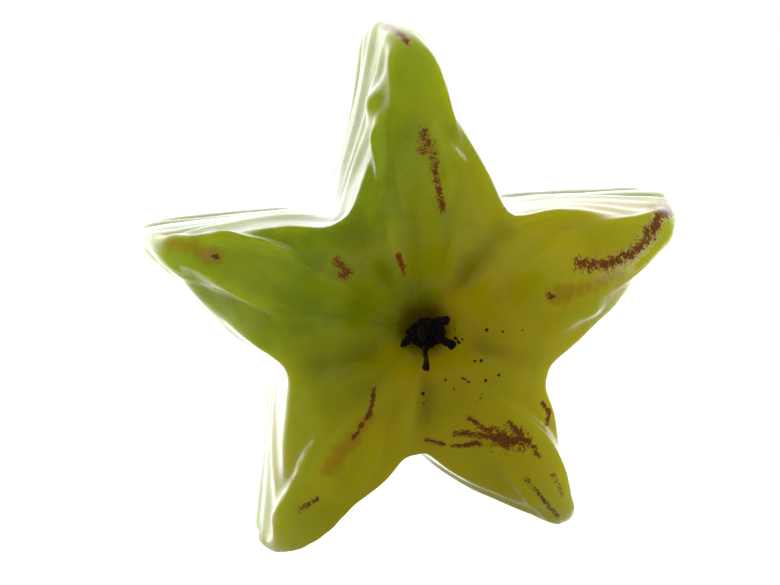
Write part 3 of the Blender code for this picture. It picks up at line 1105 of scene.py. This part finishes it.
    def _colour(self, piece: bpy.types.Object, surface: np.ndarray, fraction: np.ndarray) -> None:
        """Store what the skin's material reads.

        Attributes give the ripeness, the brown heart and the shade round it, the crests painted lighter as
        light shining through them, streaks along the fruit, the relief of the folds (which also paints
        highlights on folds and shade in creases), and the distance to each kind of mark.

        Args:
            piece: the fruit's object.
            surface: its rings' points in millimetres.
            fraction: 0 at the crest to 1 in the groove, for each column.
        """
        x, depth, z = np.moveaxis(surface, -1, 0)
        reach = np.hypot(x, z)
        turn = np.degrees(np.arctan2(z, x))
        front = soft_fall(depth, *self.ripe_depth)
        warm = 0.5 + 0.5 * np.cos(np.radians(turn - self.ripe_turn))
        ripe = 0.08 + 0.85 * front * soft_step(warm, *self.ripe_warmth)
        blossom = depth < self.blossom_half
        crest = soft_fall(np.broadcast_to(fraction, reach.shape), *self.crest_glow_side)
        circle = np.stack([np.cos(np.radians(turn)), np.sin(np.radians(turn)), depth / 90.0], -1)
        broad, narrow = self.streak_sizes
        streak = lattice_noise(circle, broad, self.seed + 3) * 0.6
        streak += lattice_noise(circle, narrow, self.seed + 4) * 0.4
        set_attribute(piece, "streak", streak, 0.0, 0.0)
        # The fold relief also paints highlights on raised folds and shade in creases.
        set_attribute(piece, "relief", self._folds(surface), 0.0, 0.0)
        set_attribute(piece, "ripe", ripe, 0.1, 0.1)
        set_attribute(piece, "heart", soft_fall(reach, *self.heart_reach) * blossom, 1.0, 0.0)
        set_attribute(piece, "shade", soft_fall(reach, *self.shade_reach) * blossom, 1.0, 0.0)
        # Painted light: where the crests are made paler, as if light shone through them.
        set_attribute(piece, "thin", crest * soft_step(reach, *self.crest_glow_reach), 0.0, 0.0)
        limit = self.far_from_marks
        for kind in MarkKind:
            far = np.full(reach.shape, limit)
            for mark in (m for m in MARKS if m.kind is kind):
                far = np.minimum(far, self._distance(x, z, mark.line.flat()) / mark.half_width)
            if kind is MarkKind.SPECK:
                far = np.minimum(far, self._specks(x, z))
            far += limit * (1.0 - self._front(reach, depth))
            if kind is MarkKind.RUB:
                far = np.minimum(far, limit - (limit - 0.5) * self._wear(surface, fraction))
            set_attribute(piece, kind.value, far, limit, limit)

    def _wear(self, surface: np.ndarray, fraction: np.ndarray) -> np.ndarray:
        """How worn the crests are behind the blossom end, in patches of a random field.

        Args:
            surface: points in millimetres, as (rings, columns, 3).
            fraction: 0 at the crest to 1 in the groove, for each column.

        Returns:
            1 where the skin is rubbed brown, 0 where it is whole.
        """
        patch = soft_step(lattice_noise(surface, self.wear_patch, self.seed + 5), *self.wear_share)
        crest = soft_fall(np.broadcast_to(fraction, patch.shape), *self.wear_side)
        return patch * crest * soft_step(surface[..., 1], *self.wear_depth)

    def _specks(self, x: np.ndarray, z: np.ndarray) -> np.ndarray:
        """Distance, in half widths, to the nearest of some specks scattered below and right of the flower.

        Args:
            x: sideways places from the axis.
            z: upright places from the axis.

        Returns:
            1 on a speck's edge and less inside it.
        """
        random = np.random.default_rng(self.seed + 8)
        turn = random.uniform(*self.speck_turns, self.speck_count)
        reach = random.uniform(*self.speck_reach, self.speck_count)
        size = random.uniform(*self.speck_size, self.speck_count)
        far = np.full(x.shape, np.inf)
        for (px, pz), half_width in zip(unit(turn) * reach[:, None], size):
            far = np.minimum(far, np.hypot(x - px, z - pz) / half_width)
        return far

    def _front(self, reach: np.ndarray, depth: np.ndarray) -> np.ndarray:
        """Whether a place faces the blossom end: the limit's depth grows with the square of the reach.

        Args:
            reach: distances from the axis.
            depth: distances behind the front of the ribs.

        Returns:
            1 on the blossom end, falling softly to 0 behind the limit.
        """
        spread, start, fade = self.front_limit
        return soft_fall(depth - (reach**2 / spread + start), 0.0, fade)

    @staticmethod
    def _distance(x: np.ndarray, z: np.ndarray, points: Sequence[Pair]) -> np.ndarray:
        """Distance to a broken line, seen along the fruit's axis.

        Args:
            x: sideways places from the axis.
            z: upright places from the axis.
            points: the line's corners.

        Returns:
            The distance from each place to the nearest point of the line.
        """
        nearest = np.full(x.shape, np.inf)
        for (ax, az), (bx, bz) in zip(points[:-1], points[1:]):
            length = max((bx - ax) ** 2 + (bz - az) ** 2, 1e-9)
            share = np.clip(((x - ax) * (bx - ax) + (z - az) * (bz - az)) / length, 0.0, 1.0)
            nearest = np.minimum(nearest, np.hypot(x - ax - share * (bx - ax), z - az - share * (bz - az)))
        return nearest

    def make(self, finish: SkinFinish) -> None:
        """Build, dress and place the fruit in the given finish."""
        put(self.build(), self.node, finish.make())


# ---------------------------------------------------------------------------------------------------------
# The withered flower
# ---------------------------------------------------------------------------------------------------------


@dataclass(frozen=True)
class Style:
    """A dried style: its node, points (x, y, z) from its box's middle, thickness along it, and redness."""

    node: str
    points: tuple[tuple[float, float, float], ...]
    shares: tuple[float, ...]
    redness: float


STYLES = (
    Style("style_1", ((-0.2, 0.3, -1.4), (-0.1, -0.6, -2.3), (0.0, -0.8, -3.3), (-0.3, -1.1, -4.0)),
          (1.0, 0.7, 0.7, 1.3), 0.35),
    Style("style_2", ((0.5, 0.1, 1.0), (1.1, -0.7, 1.6), (2.0, -1.1, 1.7), (2.7, -1.3, 1.3)),
          (1.3, 1.1, 1.2, 1.5), 0.0),
    Style("style_3", ((1.2, 0.15, -0.4), (1.9, -0.5, -1.0), (2.6, -0.8, -1.2), (3.1, -1.1, -1.7)),
          (1.3, 1.1, 1.0, 1.4), 0.0),
    Style("style_4", ((-1.3, 0.2, 0.2), (-2.0, -0.5, 0.0), (-2.5, -0.9, -0.4), (-2.6, -1.2, -1.0)),
          (1.4, 1.1, 1.1, 1.3), 0.1),
    Style("style_5", ((-0.35, -0.1, 0.6), (-0.85, -1.1, 0.9), (-0.95, -1.8, 0.4), (-0.5, -2.2, -0.3)),
          (1.1, 0.9, 0.9, 1.2), 0.3),
)


@dataclass
class WitheredFlower:
    """The flower's scar and its five dried styles, crumpled and uneven."""

    scar_node: str = "flower_scar"
    style_radius: float = 0.36
    scar_rings: int = 60
    scar_columns: int = 80
    style_rings: int = 48
    style_columns: int = 20

    def scar(self) -> bpy.types.Object:
        """Lump: a ball flattened to the node's box, each point moved along its direction by random fields.

        Returns:
            The scar's object.
        """
        middle = node_middle(self.scar_node)
        low, high = (np.array(corner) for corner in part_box(self.scar_node))
        fall = np.linspace(0.0, math.pi, self.scar_rings + 2)[:, None]
        turn = np.linspace(0.0, math.tau, self.scar_columns, endpoint=False)
        flat = np.broadcast_to(np.cos(fall), (len(fall), len(turn)))
        ball = np.stack([np.sin(fall) * np.cos(turn), -flat, np.sin(fall) * np.sin(turn)], -1)
        size = 1.0 + 0.20 * lattice_noise(ball, 0.6, 3) + 0.20 * lattice_noise(ball, 0.25, 4)
        size += 0.16 * lattice_noise(ball, 0.10, 5)
        points = fit_to_box(middle + ball * size[..., None] * (high - low) / 2.0, self.scar_node)
        return closed_surface("flower_scar_detail", points[1:-1], points[0, 0], points[-1, 0])

    def style(self, style: Style) -> bpy.types.Object:
        """Dried style: a round tube on a Bezier curve, wrinkled by random fields and clubbed at its tip.

        Args:
            style: which style.

        Returns:
            The style's object.
        """
        places = np.linspace(0.0, 1.0, self.style_rings)
        path = bezier(np.array(style.points), places)
        path += 0.16 * np.stack([lattice_noise(path + shift, 0.8, 8) for shift in (0.0, 17.0, 31.0)], -1)
        radius = np.interp(places, np.linspace(0.0, 1.0, len(style.shares)), style.shares)
        ends = np.sqrt(np.clip(1.0 - np.abs(2.0 * places - 1.0) ** 14, 0.02, 1.0))
        rings = tube_rings(path, (self.style_radius * radius * ends)[:, None], self.style_columns,
                           np.array([0.3, 0.9, 0.4]))
        outward = rings - path[:, None]
        rings = path[:, None] + outward * (1.0 + 0.45 * lattice_noise(rings, 0.35, 9))[..., None]
        points = fit_to_box(rings, style.node)
        name = f"{style.node}_detail"
        return closed_surface(name, points, points[0].mean(0), points[-1].mean(0))

    def make(self, finish: DriedFlowerFinish) -> None:
        """Build, dress and place the scar and the styles.

        Args:
            finish: what they are dressed in, redder where a style is less dry.
        """
        put(self.scar(), self.scar_node, finish.make("dried_scar", 0.0))
        for style in STYLES:
            material = finish.make(f"dried_{style.node}", style.redness)
            put(self.style(style), style.node, material)


# ---------------------------------------------------------------------------------------------------------
# The stalk and the sepals
# ---------------------------------------------------------------------------------------------------------


@dataclass
class StalkEnd:
    """The cut stalk and the five dry sepals round it."""

    stalk_node: str = "stem_stub"
    stalk_radius: float = 1.5
    stalk_rings: int = 90
    stalk_columns: int = 64
    sepal_count: int = 5
    sepal_rings: int = 60
    sepal_columns: int = 48
    sepal_from_radius: float = 2.2
    sepal_length: float = 4.8
    sepal_half_width: float = 1.1
    sepal_rise: float = 2.4

    def stalk(self) -> bpy.types.Object:
        """Stalk: a round tube on a bent line, wider at both ends, with grooves along it and a flat cut end.

        Returns:
            The stalk's object, with an attribute that is 1 on the cut end.
        """
        places = np.linspace(0.0, 1.0, self.stalk_rings)
        path = bezier(np.array([(0.0, 0.0, 0.0), (0.1, 4.25, 0.3), (0.9, 8.5, 1.2)]), places)
        radius = self.stalk_radius * np.interp(places, (0.0, 0.25, 0.8, 1.0), (1.15, 0.9, 0.95, 1.1))
        turn = np.linspace(0.0, math.tau, self.stalk_columns, endpoint=False)
        grooves = 1.0 + 0.035 * np.sin(9.0 * turn + 2.0 * places[:, None]) + 0.02 * np.sin(23.0 * turn)
        rings = tube_rings(path, radius[:, None] * grooves, self.stalk_columns, np.array([1.0, 0.0, 0.3]))
        rings += 0.05 * lattice_noise(rings, 1.1, 6)[..., None]
        end = rings[-1].mean(0)
        rough = np.stack([end + (rings[-1] - end) * share for share in (0.93, 0.8, 0.5, 0.2)])
        rough[..., 1] += 0.12 * lattice_noise(rough, 0.5, 7) - 0.03
        points = fit_to_box(np.concatenate([rings, rough]), self.stalk_node)
        piece = closed_surface("stalk_detail", points, points[0].mean(0), points[-1].mean(0))
        cut = np.zeros(points.shape[:2])
        cut[len(rings):] = 1.0
        set_attribute(piece, "cut", cut, 0.0, 1.0)
        return piece

    def sepal(self, index: int) -> bpy.types.Object:
        """Sepal: thin lens sections carried outwards on a rising curve, with the edges curled up.

        Args:
            index: which sepal, from 0.

        Returns:
            The sepal's object, with attributes for its veins and its tip.
        """
        node = f"sepal_{index + 1}"
        direction = GROOVES[index][0]
        outward, sideways = unit(np.array(direction)), unit(np.array(direction - 90.0))
        places = np.linspace(0.0, 1.0, self.sepal_rings)[:, None]
        turn = np.linspace(0.0, math.tau, self.sepal_columns, endpoint=False)
        outline = self.sepal_half_width * np.sqrt(np.clip(np.sin(math.pi * places**0.75), 0.0, 1.0))
        across = outline * np.sin(turn)
        curl = 0.35 * (across / self.sepal_half_width) ** 2 * (0.3 + places)
        thickness = 0.14 * np.sin(math.pi * np.clip(places, 0.02, 0.98)) ** 0.3 * np.cos(turn)
        ruffle = 0.10 * np.sin(9.0 * places + 2.0 * index) * across
        lift = self.sepal_rise * np.sin(math.pi / 2.0 * places) + curl + thickness + ruffle
        reach = np.broadcast_to(self.sepal_from_radius + self.sepal_length * places, across.shape)
        plane = reach[..., None] * outward + across[..., None] * sideways
        points = fit_to_box(np.stack([plane[..., 0], lift, plane[..., 1]], -1) * MM, node)
        piece = closed_surface(f"{node}_detail", points[1:-1], points[0].mean(0), points[-1].mean(0))
        lines = 0.5 + 0.5 * np.cos(across / self.sepal_half_width * math.tau * 2.5)
        set_attribute(piece, "veins", (lines**4)[1:-1], 0.0, 0.0)
        set_attribute(piece, "tip", np.broadcast_to(places, across.shape)[1:-1], 0.0, 1.0)
        return piece

    def make(self, stalk_finish: StalkFinish, sepal_finish: SepalFinish) -> None:
        """Build, dress and place the stalk and the sepals.

        Args:
            stalk_finish: what the stalk is dressed in.
            sepal_finish: what all the sepals are dressed in.
        """
        put(self.stalk(), self.stalk_node, stalk_finish.make())
        dry = sepal_finish.make()
        for index in range(self.sepal_count):
            put(self.sepal(index), f"sepal_{index + 1}", dry)


# ---------------------------------------------------------------------------------------------------------
# The studio
# ---------------------------------------------------------------------------------------------------------


@dataclass
class Studio:
    """Pale table, light that comes mostly from behind the fruit, and the camera.

    Each pair of light says how far towards +Y a direction points, from -1 to 1, and how bright it is there.
    """

    table_half_size: float = 1.5
    azimuth: float = -3.0
    elevation: float = 4.0
    roll: float = -5.0
    distance: float = 0.36
    lens: float = 128.0
    target_offset: tuple[float, float, float] = (-2.7, -9.8, -1.8)
    light: tuple[Pair, ...] = (
        (-0.80, 0.04), (-0.45, 0.70), (-0.10, 0.70), (0.05, 0.25), (0.50, 0.25), (0.88, 2.0))
    brightest: float = 2.0

    def table(self, finish: TableFinish) -> None:
        """A large square at Z = 0, part of the stage.

        Args:
            finish: what it is dressed in.
        """
        half = self.table_half_size
        mesh = bpy.data.meshes.new("table")
        corners = [(-half, -half, 0.0), (half, -half, 0.0), (half, half, 0.0), (-half, half, 0.0)]
        mesh.from_pydata(corners, [], [(0, 1, 2, 3)])
        mesh.materials.append(finish.make())
        table = bpy.data.objects.new("table", mesh)
        bpy.context.scene.collection.objects.link(table)

    def surroundings(self) -> None:
        """World light that depends on how far towards +Y a direction points, plain white to the camera."""
        world = bpy.data.worlds.new("surroundings")
        world.use_nodes = True
        bpy.context.scene.world = world
        nodes, links = world.node_tree.nodes, world.node_tree.links
        background = nodes["Background"]
        direction = nodes.new("ShaderNodeTexCoord")
        split = nodes.new("ShaderNodeSeparateXYZ")
        part = nodes.new("ShaderNodeMapRange")
        part.inputs["From Min"].default_value = -1.0
        ramp = nodes.new("ShaderNodeValToRGB")
        ramp.color_ramp.interpolation = "EASE"
        seen = nodes.new("ShaderNodeLightPath")
        choose = nodes.new("ShaderNodeMix")
        choose.data_type = "RGBA"
        stops = [((y + 1.0) / 2.0, (light / self.brightest,) * 3) for y, light in self.light]
        Shader.set_stops(ramp.color_ramp, stops)
        choose.inputs[7].default_value = (1.0 / self.brightest,) * 3 + (1.0,)
        for inputs, key, output in (
            (split.inputs, 0, direction.outputs["Generated"]),
            (part.inputs, "Value", split.outputs["Y"]),
            (ramp.inputs, "Fac", part.outputs["Result"]),
            (choose.inputs, 0, seen.outputs["Is Camera Ray"]),
            (choose.inputs, 6, ramp.outputs["Color"]),
            (background.inputs, "Color", choose.outputs[2]),
        ):
            links.new(output, inputs[key])
        background.inputs["Strength"].default_value = self.brightest

    def camera(self) -> None:
        """Camera looking along the fruit from its blossom end, a little from above, rolled to the left."""
        target = node_middle("fruit") + np.array(self.target_offset) * MM
        turn, rise, roll = (math.radians(a) for a in (self.azimuth, self.elevation, self.roll))
        back = Vector((math.sin(turn) * math.cos(rise), -math.cos(turn) * math.cos(rise), math.sin(rise)))
        right = (-back).cross(Vector((0.0, 0.0, 1.0))).normalized()
        up = right.cross(-back)
        level_right = right * math.cos(roll) + up * math.sin(roll)
        level_up = up * math.cos(roll) - right * math.sin(roll)
        pose = Matrix((level_right, level_up, back)).transposed().to_4x4()
        pose.translation = Vector(target) + back * self.distance
        lens = bpy.data.cameras.new("camera")
        lens.lens = self.lens
        lens.clip_start = 0.01
        camera = bpy.data.objects.new("camera", lens)
        camera.matrix_world = pose
        bpy.context.scene.collection.objects.link(camera)
        bpy.context.scene.camera = camera

    def make(self, finish: TableFinish) -> None:
        """Set up the table, the light, the camera and plain colour handling.

        Args:
            finish: what the table is dressed in.
        """
        bpy.context.scene.view_settings.view_transform = "Standard"
        self.table(finish)
        self.surroundings()
        self.camera()


def main() -> None:
    """Build the star fruit's looks and its studio."""
    logging.basicConfig(level=logging.INFO, format="%(name)s: %(message)s")
    Studio().make(TableFinish())
    Fruit().make(SkinFinish())
    WitheredFlower().make(DriedFlowerFinish())
    StalkEnd().make(StalkFinish(), SepalFinish())


if __name__ == "__main__":
    main()
